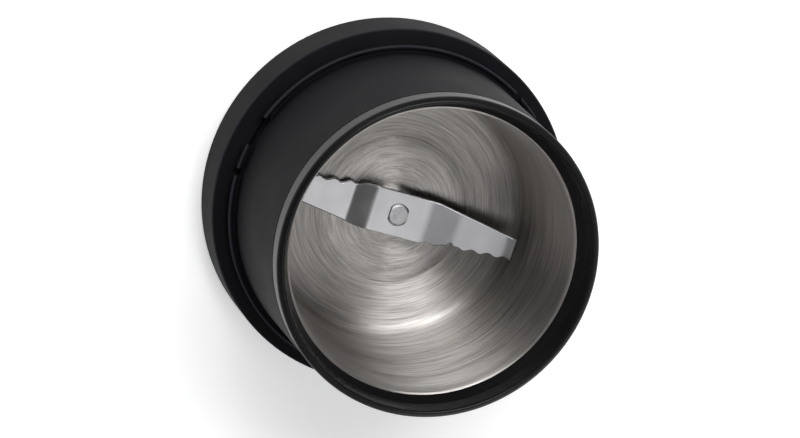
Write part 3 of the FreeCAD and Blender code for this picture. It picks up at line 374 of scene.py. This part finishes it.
STEEL_CLOUD = (160.0, 4.0, 0.6)
SCRATCHES = (240.0, 3.0, 0.7)
SCRATCH_STRETCH = (1.0, 22.0, 6.0)
SCRATCH_LEAN = 18.0
SCRATCH_SPAN = (0.68, 0.76)
SCRATCH_SHADE = -0.05
SPECK_SPAN = (0.35, 0.65)


def make_tumbled_skin():
    """Dull speckle of steel that has been tumbled with stones, with faint handling marks."""
    tree = new_group("tumbled_skin", (0.7, 0.7, 0.71), {
        "Speck Size": 1800.0, "Contrast": 0.06, "Roughness": 0.45})
    entry = tree.nodes.new("NodeGroupInput")
    out = tree.nodes.new("NodeGroupOutput")
    place = add_node(tree, "TexCoord").outputs["Object"]
    specks = noise_of(tree, place, entry.outputs["Speck Size"], 4.0, 0.65)
    clouds = noise_of(tree, place, *STEEL_CLOUD)
    stretched = add_node(tree, "Mapping")
    feed(tree, stretched.inputs["Vector"], place)
    stretched.inputs["Rotation"].default_value = (0, 0, math.radians(SCRATCH_LEAN - BLADE_TURN))
    stretched.inputs["Scale"].default_value = SCRATCH_STRETCH
    marks = noise_of(tree, stretched.outputs[0], *SCRATCHES)
    mixed = math_of(tree, "ADD", math_of(tree, "MULTIPLY", specks, 0.5),
                    math_of(tree, "MULTIPLY", clouds, 0.5))
    amount = around_one(tree, mixed, SPECK_SPAN, entry.outputs["Contrast"])
    scratch = spread(tree, marks, *SCRATCH_SPAN, 0.0, SCRATCH_SHADE)
    amount = math_of(tree, "ADD", amount, scratch)
    feed(tree, out.inputs["Colour"], shade_of(tree, entry.outputs["Colour"], amount))
    shift = spread(tree, clouds, *SOFT_SPAN, -0.05, 0.05)
    feed(tree, out.inputs["Roughness"], math_of(tree, "ADD", entry.outputs["Roughness"], shift))
    feed(tree, out.inputs["Height"], specks)
    return tree


GROUPS = {"moulded": make_moulded_grain(),
          "turned": make_turned_marks(),
          "tumbled": make_tumbled_skin()}


METAL = 1.0
QUARTER_TURN = 0.25
# Painted edge highlight of a finish that has none: its line is far from the cup.
NO_EDGE = (1000.0, 0.0, 0.0)
NO_CENTRE = (0.0, 1.0, 0.0)


def finish(name, group, values, bump, metallic=0.0, anisotropic=0.0, specular=0.5):
    """Material of one shared group, feeding a shader with its plain values set on it."""
    material = bpy.data.materials.new(name)
    material.use_nodes = True
    tree = material.node_tree
    shader = tree.nodes["Principled BSDF"]
    skin = tree.nodes.new("ShaderNodeGroup")
    skin.node_tree = GROUPS[group]
    for key, value in values.items():
        skin.inputs[key].default_value = value
    relief = add_node(tree, "Bump")
    relief.inputs["Distance"].default_value = bump * MM
    relief.inputs["Strength"].default_value = 1.0
    tree.links.new(skin.outputs["Height"], relief.inputs["Height"])
    tree.links.new(skin.outputs["Colour"], shader.inputs["Base Color"])
    tree.links.new(skin.outputs["Roughness"], shader.inputs["Roughness"])
    tree.links.new(relief.outputs["Normal"], shader.inputs["Normal"])
    shader.inputs["Metallic"].default_value = metallic
    shader.inputs["Specular IOR Level"].default_value = specular
    if anisotropic:
        shader.inputs["Anisotropic"].default_value = anisotropic
        shader.inputs["Anisotropic Rotation"].default_value = QUARTER_TURN
        round_axis = add_node(tree, "Tangent", direction_type="RADIAL", axis="Z")
        tree.links.new(round_axis.outputs[0], shader.inputs["Tangent"])
    return material


def plastic(name, colour, roughness, grain=6000.0, cloud=0.08, bump=0.006, specular=0.05,
            edge=NO_EDGE):
    """Moulded finish. The painted edge highlight is a ring of a radius and height, with its shine.
    """
    radius, height, shine = edge
    return finish(name, "moulded", {"Colour": (*colour, 1), "Grain Size": grain, "Cloud": cloud,
                                    "Roughness": roughness, "Edge Radius": radius * MM,
                                    "Edge Height": height * MM, "Edge Highlight": shine},
                  bump, specular=specular)


def round_brushed(name, colour, roughness, line=2500.0, contrast=0.15, bump=0.004,
                  anisotropic=0.0, centre=NO_CENTRE):
    """Finish of lines round the axis. The centre has a radius, a painted shade and a rougher skin.
    """
    radius, painted_shade, rougher = centre
    return finish(name, "turned", {"Colour": (*colour, 1), "Line Size": line, "Contrast": contrast,
                                   "Roughness": roughness, "Centre Radius": radius * MM,
                                   "Centre Painted Shade": painted_shade, "Centre Roughness": rougher},
                  bump, METAL, anisotropic)


def tumbled(name, colour, roughness, speck=1800.0, contrast=0.05, bump=0.004):
    return finish(name, "tumbled", {"Colour": (*colour, 1), "Speck Size": speck,
                                    "Contrast": contrast, "Roughness": roughness}, bump, METAL)


# The cup's rail edge and the flange's top edge carry a painted highlight that stands in for light
# catching them.
CUP_BLACK = plastic("cup_satin_black", (0.0062, 0.006, 0.0078), 0.5, specular=0.037,
                    edge=(47.1, 19.5, 3.5))
FLANGE_BLACK = plastic("flange_black", (0.007, 0.0068, 0.0082), 0.5, cloud=0.1, specular=0.033,
                       edge=(50.9, 14.2, 3.0))
RIM_BLACK = plastic("rim_gloss_black", (0.006, 0.006, 0.0065), 0.28, grain=1500.0, cloud=0.05,
                    bump=0.001, specular=0.15)
COVER_BLACK = plastic("cover_black", (0.022, 0.022, 0.024), 0.5, grain=4000.0, bump=0.010)
CARRIER_BLACK = plastic("carrier_black", (0.03, 0.03, 0.032), 0.45)
COUPLING_BLACK = plastic("coupling_black", (0.02, 0.02, 0.021), 0.42)
SILICONE = plastic("gasket_silicone", (0.5, 0.5, 0.49), 0.6, grain=3000.0)
SEAL_RUBBER = plastic("seal_rubber", (0.02, 0.02, 0.02), 0.65, grain=3000.0)
WASHER_WHITE = plastic("washer_white", (0.75, 0.75, 0.71), 0.4)
# The bowl's raised centre, within a radius of 21.2 mm, is darkened as painted shade.
BOWL_STEEL = round_brushed("bowl_brushed_steel", (0.43, 0.412, 0.394), 0.42, line=3800.0,
                           contrast=0.34, bump=0.010, anisotropic=0.95, centre=(21.2, 0.68, -0.13))
BLADE_STEEL = tumbled("blade_tumbled_steel", (0.47, 0.47, 0.483), 0.37)
SHAFT_STEEL = tumbled("shaft_peened_steel", (0.42, 0.42, 0.43), 0.45, speck=1400.0, contrast=0.3)
TURNED_STEEL = round_brushed("turned_steel", (0.58, 0.58, 0.58), 0.3, contrast=0.1)
SPRING_STEEL = tumbled("spring_steel", (0.22, 0.22, 0.23), 0.4)
ZINC_STEEL = tumbled("zinc_plated_steel", (0.62, 0.62, 0.6), 0.3, contrast=0.1)
BRONZE = round_brushed("sintered_bronze", (0.45, 0.29, 0.16), 0.45, contrast=0.12)


# Pieces of the cup that stay still.

def make_cup_wall():
    piece = edged_copy("cup_sleeve", "cup_wall", 0.14)
    fit_out(piece, "cup", CUP_BLACK, "cup_black", "cup_sleeve")


def make_flange():
    piece = edged_copy("base_ring", "flange", 0.16)
    fit_out(piece, "cup", FLANGE_BLACK, "flange_black", "base_ring")


def make_rim():
    """Gloss rim: funnel, upright inner face, rounded crest and the spigot inside the wall."""
    mouth = (38.9, BOWL_EDGE_Z)
    funnel_top = (40.6, 62.2)
    spigot = 42.0
    snap_bead = [(spigot, 60.0), (42.2, 60.25), (spigot, 60.5)]
    foot = (43.1, 61.05)
    crest_outside = (43.0, RIM_Z - 0.95)
    crest = (41.65, RIM_Z)
    crest_inside = (41.0, RIM_Z - 0.45)
    outline = [mouth, (spigot, BOWL_EDGE_Z), *snap_bead, (spigot, foot[1]), foot,
               crest_outside, crest, crest_inside, funnel_top]
    rounds = [(*crest_outside, 0.55, 7), (*crest, 0.45, 6), (*crest_inside, 0.35, 5),
              (*funnel_top, 0.3, 4), (*mouth, 0.1, 3), (*foot, 0.08, 2)]
    piece = turned_piece("rim", outline, rounds)
    smooth(piece)
    fit_out(piece, "cup", RIM_BLACK, "gloss_black", "rim_ring")


def make_bowl():
    """Drawn bowl: raised centre, rounded corner, tapered wall and turned-out edge."""
    sheet = 0.5
    floor = 14.8
    centre = floor + 0.7
    hole, step_inside, step_outside = 5.25, 19.3, 23.4
    corner, mouth, edge = 36.7, 38.35, 41.4
    below_floor = floor - sheet
    below_centre = centre - sheet
    below_edge = BOWL_EDGE_Z - sheet
    outline = [(hole, below_centre), (step_inside, below_centre), (step_outside, below_floor),
               (corner + sheet, below_floor), (mouth + sheet, below_edge), (edge, below_edge),
               (edge, BOWL_EDGE_Z), (mouth, BOWL_EDGE_Z), (corner, floor), (step_outside, floor),
               (step_inside, centre), (hole, centre)]
    rounds = [(corner, floor, 3.8, 12), (corner + sheet, below_floor, 4.3, 12),
              (mouth, BOWL_EDGE_Z, 0.9, 6), (mouth + sheet, below_edge, 0.4, 3),
              (step_outside, floor, 2.0, 8), (step_inside, centre, 2.0, 8),
              (step_inside, below_centre, 2.0, 8), (step_outside, below_floor, 2.0, 8)]
    piece = turned_piece("bowl", outline, rounds)
    smooth(piece)
    fit_out(piece, "cup", BOWL_STEEL, "bowl_steel", "steel_bowl")


# Pieces that turn with the shaft.

BLADE_TOP_Z = 21.1
BLADE_THICKNESS = 1.5
BLADE_REACH = 33.8

# Distances from the axis at which the wings bend, and the slopes between them in degrees.
HIGH_FIRST = 8.0
HIGH_SECOND = 17.0
HIGH_TIP = 31.4
LOW_FIRST = 7.8
LOW_SECOND = 13.1
HIGH_SLOPES = (math.degrees(math.atan2(2.2, HIGH_SECOND - HIGH_FIRST)),
               math.degrees(math.atan2(2.4, HIGH_TIP - HIGH_SECOND)),
               math.degrees(math.atan2(1.0, BLADE_REACH - HIGH_TIP)))
LOW_SLOPE = math.degrees(math.atan2(2.6, LOW_SECOND - LOW_FIRST))

# Leading edge before grinding: distances from the axis, and from there to the blade's long axis.
GRIND_START = 7.8
MIDDLE_END = 8.5
MIDDLE_HALF = 6.3
NICK = 16.6
NICK_HALF = 5.05
TIP_HALF = 3.45
EDGE_POINTS = 84

# Ground waves: first crest of each row, depths, and the nick's depth and half its length.
WAVE_PITCH = 4.55
HIGH_WAVE = 18.3
LOW_WAVE = 12.75
INNER_WAVE = 10.1
WAVE_DEPTH = 0.76
INNER_WAVE_DEPTH = 0.6
NICK_DEPTH = 1.6
NICK_REACH = 0.85


def flat_length(along, wing):
    """Distance along the unbent strip of a point whose distance from the axis is known."""
    stops = ([(HIGH_FIRST, 0.0), (HIGH_SECOND, HIGH_SLOPES[0]), (HIGH_TIP, HIGH_SLOPES[1]),
              (BLADE_REACH, HIGH_SLOPES[2])] if wing == "high" else
             [(LOW_FIRST, 0.0), (LOW_SECOND, LOW_SLOPE), (BLADE_REACH, 0.0)])
    total = 0.0
    start = 0.0
    for stop, slope in stops:
        run = min(along, stop) - start
        if run <= 0:
            break
        total += run / math.cos(math.radians(slope))
        start = stop
    return total


def wave_cut(along, wing):
    """How far the ground waves cut into the leading edge at a distance from the axis."""
    def wave(first, depth):
        return depth * (0.5 + 0.5 * math.cos(math.tau * (along - first) / WAVE_PITCH))

    first = HIGH_WAVE if wing == "high" else LOW_WAVE
    cut = 0.0
    if along > first - WAVE_PITCH / 2:
        cut = wave(first, WAVE_DEPTH)
    elif wing == "high" and along > GRIND_START:
        cut = wave(INNER_WAVE, INNER_WAVE_DEPTH)
    if wing == "high":
        nick = 1 - ((along - NICK) / NICK_REACH) ** 2
        if nick > 0:
            cut = max(cut, NICK_DEPTH * nick ** 0.5)
    return cut


def leading_reach(along):
    """Distance of the unground leading edge from the blade's long axis."""
    if along < MIDDLE_END:
        return MIDDLE_HALF
    if along < NICK:
        share = (along - MIDDLE_END) / (NICK - MIDDLE_END)
        return MIDDLE_HALF - (MIDDLE_HALF - NICK_HALF) * share
    return NICK_HALF - (NICK_HALF - TIP_HALF) * (along - NICK) / (BLADE_REACH - NICK)


def blade_outline():
    """Outline of the unbent blade, once round from the high wing's leading edge."""
    middle_side = 7.6
    trailing_corner = (11.0, MIDDLE_HALF)
    trailing_tip = 2.9

    def wing_edge(wing):
        points = [(0.0, -MIDDLE_HALF), (middle_side, -MIDDLE_HALF)]
        for step in range(EDGE_POINTS + 1):
            along = GRIND_START + (BLADE_REACH - GRIND_START) * step / EDGE_POINTS
            reach = leading_reach(along) - wave_cut(along, wing)
            points.append((flat_length(along, wing), -reach))
        tip = flat_length(BLADE_REACH, wing)
        corner = (flat_length(trailing_corner[0], wing), trailing_corner[1])
        return points + [(tip, trailing_tip), corner]

    high = wing_edge("high")
    low = [(-along, -across) for along, across in wing_edge("low")]
    return high + low


BEND_TURNS = 6


def bend(line, degrees, span):
    """Bend all that lies beyond a line, over a short span, in equal small turns."""
    side = 1 if line > 0 else -1
    for index in range(BEND_TURNS, 0, -1):
        place = side * (abs(line) - span / 2 + span * (index - 0.5) / BEND_TURNS)
        pick("verts", lambda v: side * v.co.x > side * place * MM - 0.005 * MM)
        middle = Vector((place * MM, 0, (BLADE_TOP_Z - BLADE_THICKNESS / 2) * MM))
        bpy.ops.transform.rotate(value=side * math.radians(degrees) / BEND_TURNS, orient_axis="Y",
                                 orient_type="GLOBAL", center_override=middle)


def cut_across(place):
    bpy.ops.mesh.select_mode(type="VERT")
    bpy.ops.mesh.select_all(action="SELECT")
    bpy.ops.mesh.bisect(plane_co=(place * MM, 0, 0), plane_no=(1, 0, 0), threshold=TOUCH)


def make_blade():
    """Blade: wave-edged strip with a punched hole, edges rounded, cut across and bent."""
    points = [(along * MM, across * MM, BLADE_TOP_Z * MM) for along, across in blade_outline()]
    piece = start_line("blade_strip", points[0])
    draw_line(points)
    bpy.ops.mesh.select_all(action="SELECT")
    bpy.ops.mesh.edge_face_add()
    bpy.ops.mesh.select_all(action="SELECT")
    bpy.ops.mesh.extrude_region_move(
        TRANSFORM_OT_translate={"value": Vector((0, 0, -BLADE_THICKNESS * MM))})
    bpy.ops.mesh.select_all(action="SELECT")
    bpy.ops.mesh.normals_make_consistent(inside=False)
    leave_edit()
    punch_hole(piece)
    edit(piece)
    pick("edges", on_blade_rim)
    bpy.ops.mesh.bevel(offset=0.3 * MM, offset_type="OFFSET", segments=4, profile=0.5,
                       affect="EDGES", clamp_overlap=False)
    # Each bend: its line along the strip, its turn in degrees and the length it takes.
    bends = [(flat_length(HIGH_TIP, "high"), HIGH_SLOPES[2] - HIGH_SLOPES[1], 2.2),
             (flat_length(HIGH_SECOND, "high"), HIGH_SLOPES[1] - HIGH_SLOPES[0], 2.0),
             (HIGH_FIRST, HIGH_SLOPES[0], 3.2),
             (-flat_length(LOW_SECOND, "low"), LOW_SLOPE, 1.3),
             (-LOW_FIRST, -LOW_SLOPE, 1.3)]
    for line, degrees, span in bends:
        side = 1 if line > 0 else -1
        for index in range(BEND_TURNS + 1):
            cut_across(side * (abs(line) - span / 2 + span * index / BEND_TURNS))
    for line, degrees, span in bends:
        bend(line, degrees, span)
    bpy.ops.mesh.select_all(action="SELECT")
    bpy.ops.transform.rotate(value=-math.radians(BLADE_TURN), orient_axis="Z", orient_type="GLOBAL",
                             center_override=Vector((0, 0, 0)))
    leave_edit()
    smooth(piece, 40.0)
    fit_out(piece, "rotor", BLADE_STEEL, "blade_steel", "blade")


HOLE_RADIUS = 3.2
HOLE_FLAT = 2.68


def punch_hole(piece):
    """Punch the hole that fits the shaft's two flats, with a hair of room."""
    deselect_all()
    bpy.ops.mesh.primitive_cylinder_add(vertices=72, radius=HOLE_RADIUS * MM, depth=6 * MM,
                                        location=(0, 0, BLADE_TOP_Z * MM))
    punch = bpy.context.object
    bpy.ops.object.mode_set(mode="EDIT")
    for side in (1, -1):
        bpy.ops.mesh.select_all(action="SELECT")
        bpy.ops.mesh.bisect(plane_co=(side * HOLE_FLAT * MM, 0, 0), plane_no=(side, 0, 0),
                            clear_outer=True, use_fill=True, threshold=TOUCH)
    leave_edit()
    take(piece)
    bpy.ops.object.modifier_add(type="BOOLEAN")
    cut = piece.modifiers[-1]
    cut.operation = "DIFFERENCE"
    cut.object = punch
    bpy.ops.object.modifier_apply(modifier=cut.name)
    bpy.data.objects.remove(punch)


def on_blade_rim(edge):
    """True for an edge between a broad face and the outer side of the unbent strip."""
    if len(edge.link_faces) != 2:
        return False
    first, second = (face.normal for face in edge.link_faces)
    flat = abs(first.z) > 0.9 or abs(second.z) > 0.9
    middle = (edge.verts[0].co + edge.verts[1].co) / 2
    outside = abs(middle.y) > 2.0 * MM and Vector((middle.x, middle.y, 0)).length > 3.6 * MM
    tip = abs(middle.x) > 20 * MM
    return flat and first.angle(second) > math.radians(60) and (outside or tip)


def make_shaft():
    piece = edged_copy("drive_shaft", "shaft", 0.1, 3)
    fit_out(piece, "rotor", SHAFT_STEEL, "shaft_steel", "drive_shaft")


make_cup_wall()
make_flange()
make_rim()
make_bowl()
make_blade()
make_shaft()


def dress(node, name, width, body, material, slot):
    piece = edged_copy(node, name, width)
    fit_out(piece, body, material, slot, node)


dress("bottom_cover", "cover", 0.14, "cup", COVER_BLACK, "cover_black")
dress("drive_coupling", "coupling", 0.14, "rotor", COUPLING_BLACK, "coupling_black")
dress("coupling_insert", "insert", 0.08, "rotor", TURNED_STEEL, "turned_steel")
dress("coupling_nut", "nut", 0.12, "rotor", ZINC_STEEL, "zinc_steel")
dress("base_ring_screws", "flange_screws", 0.08, "cup", ZINC_STEEL, "zinc_steel")
dress("cover_screws", "cover_pan_screws", 0.08, "cup", ZINC_STEEL, "zinc_steel")

# Solids whose shape is right and that the cup hides keep it, each with its own finish.
KEPT = {"rim_gasket": SILICONE, "hub_gasket": SILICONE, "shaft_seal": SEAL_RUBBER,
        "bearing_housing": CARRIER_BLACK, "seal_cap": TURNED_STEEL, "upper_bush": BRONZE,
        "lower_bush": BRONZE, "thrust_washer_upper": WASHER_WHITE,
        "thrust_washer_lower": WASHER_WHITE, "blade_spacer": TURNED_STEEL,
        "retaining_clip": SPRING_STEEL, "housing_screws": ZINC_STEEL}
for node, material in KEPT.items():
    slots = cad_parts[node].data.materials
    slots.clear()
    slots.append(material)


# Studio and camera.

# Heights on a sphere of radius one at which the backdrop starts to darken and has become dark.
BACKDROP_TOP = 0.35
ROOM_DARK = 0.6
BACKDROP_GLOW = 0.65
ROOM_GLOW = 0.06


def make_studio():
    """Room with a white backdrop round the horizon that darkens towards the ceiling."""
    scene = bpy.context.scene
    scene.view_settings.view_transform = "Standard"
    world = bpy.data.worlds.new("studio")
    scene.world = world
    world.use_nodes = True
    tree = world.node_tree
    room = tree.nodes["Background"]
    room.inputs["Color"].default_value = (0.97, 0.98, 1.0, 1)
    height = add_node(tree, "SeparateXYZ")
    feed(tree, height.inputs[0], add_node(tree, "TexCoord").outputs["Generated"])
    glow = spread(tree, height.outputs["Z"], BACKDROP_TOP, ROOM_DARK, BACKDROP_GLOW, ROOM_GLOW)
    tree.links.new(glow, room.inputs["Strength"])


# Lamps: direction from the cup, width and height in metres, and power in watts.
LAMPS = {"bench_box": ((-0.445, -0.283, 0.85), 0.46, 0.3, 4.9),
         "window_box": ((-0.280, -0.549, 0.788), 0.3, 0.3, 1.6),
         "back_box": ((0.104, 0.489, 0.866), 0.35, 0.35, 0.75),
         "top_box": ((0.10, 0.20, 0.975), 0.3, 0.3, 0.4),
         "low_box": ((0.25, 0.90, 0.36), 0.8, 0.5, 2.3)}
LAMP_DISTANCE = 0.9
LAMP_AIM = (0, 0, 0.04)


def soft_box(name, toward, width, height, power):
    """Rectangular lamp on a direction from the cup, turned to face it."""
    lamp = bpy.data.lights.new(name, "AREA")
    lamp.shape = "RECTANGLE"
    lamp.size = width
    lamp.size_y = height
    lamp.energy = power
    holder = bpy.data.objects.new(name, lamp)
    bpy.context.scene.collection.objects.link(holder)
    middle = Vector(LAMP_AIM)
    holder.location = middle + Vector(toward).normalized() * LAMP_DISTANCE
    holder.rotation_euler = (middle - holder.location).to_track_quat("-Z", "Y").to_euler()


FLOOR_LIFT = 0.35
FLOOR_SIZE = 4.0
FLOOR_Z = -0.2


def make_floor():
    """White floor that the camera and shiny pieces see a little lighter than the lamps make it."""
    deselect_all()
    bpy.ops.mesh.primitive_plane_add(size=FLOOR_SIZE, location=(0, 0, FLOOR_Z * MM))
    floor = bpy.context.object
    floor.name = "floor"
    material = bpy.data.materials.new("floor_white")
    material.use_nodes = True
    tree = material.node_tree
    shader = tree.nodes["Principled BSDF"]
    shader.inputs["Base Color"].default_value = (0.86, 0.86, 0.86, 1)
    shader.inputs["Roughness"].default_value = 0.7
    shader.inputs["Emission Color"].default_value = (1, 1, 1, 1)
    path = add_node(tree, "LightPath")
    seen = math_of(tree, "MAXIMUM", path.outputs["Is Camera Ray"], path.outputs["Is Glossy Ray"])
    seen = math_of(tree, "MAXIMUM", seen, path.outputs["Is Transmission Ray"])
    tree.links.new(math_of(tree, "MULTIPLY", seen, FLOOR_LIFT), shader.inputs["Emission Strength"])
    floor.data.materials.append(material)


def make_camera():
    """Camera whose place, tilt and roll were fitted to the ellipses of the rim and the flange."""
    lens = bpy.data.cameras.new("camera")
    lens.lens = 99.0
    lens.sensor_width = 36.0
    lens.clip_start = 0.01
    camera = bpy.data.objects.new("camera", lens)
    bpy.context.scene.collection.objects.link(camera)
    across = Vector((-0.72911, 0.63925, 0.24445))
    upward = Vector((-0.68439, -0.68102, -0.26042))
    backward = Vector((0, -0.35717, 0.93404))
    place = Vector((0.438, -216.13, 589.46)) * MM
    columns = Matrix((across, upward, backward)).transposed().to_4x4()
    camera.matrix_world = Matrix.Translation(place) @ columns
    bpy.context.scene.camera = camera


make_studio()
make_floor()
for name, settings in LAMPS.items():
    soft_box(name, *settings)
make_camera()
